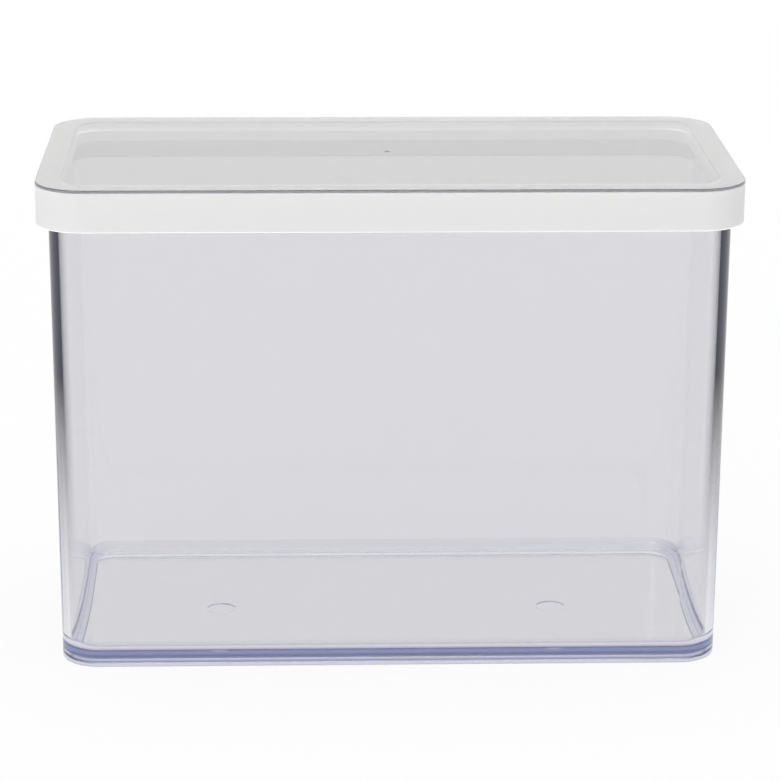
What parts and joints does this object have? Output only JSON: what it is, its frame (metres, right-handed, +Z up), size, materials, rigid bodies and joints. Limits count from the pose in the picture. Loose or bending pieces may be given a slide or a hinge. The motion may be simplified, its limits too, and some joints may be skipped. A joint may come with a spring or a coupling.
{
  "type": "crispbread storage box",
  "caption": "Clear rectangular box for upright crispbread slices, with a lift-off lid of a clear plate in a white skirted frame over a soft seal.",
  "frame": {"origin": "on the ground under the middle of the box", "axes": "+X along the box's length to the right as seen from the front, +Y from the front face to the back, +Z up"},
  "size_m": [0.2, 0.1, 0.143],
  "materials": {
    "clear_box": "clear rigid plastic, polished, with a blue-violet tint where it is thick",
    "clear_plate": "clear rigid plastic, polished",
    "white_frame": "white flexible plastic, satin",
    "soft_seal": "translucent white soft rubber, matt"
  },
  "bodies": {
    "box": {"box_body": "clear_box"},
    "lid": {"lid_plate": "clear_plate", "lid_frame": "white_frame", "lid_seal": "soft_seal"}
  },
  "joints": [
    {"name": "lid_lift", "type": "slide", "parent": "box", "child": "lid", "axis": [0, 0, 1], "range_m": [0, 0.15]}
  ]
}
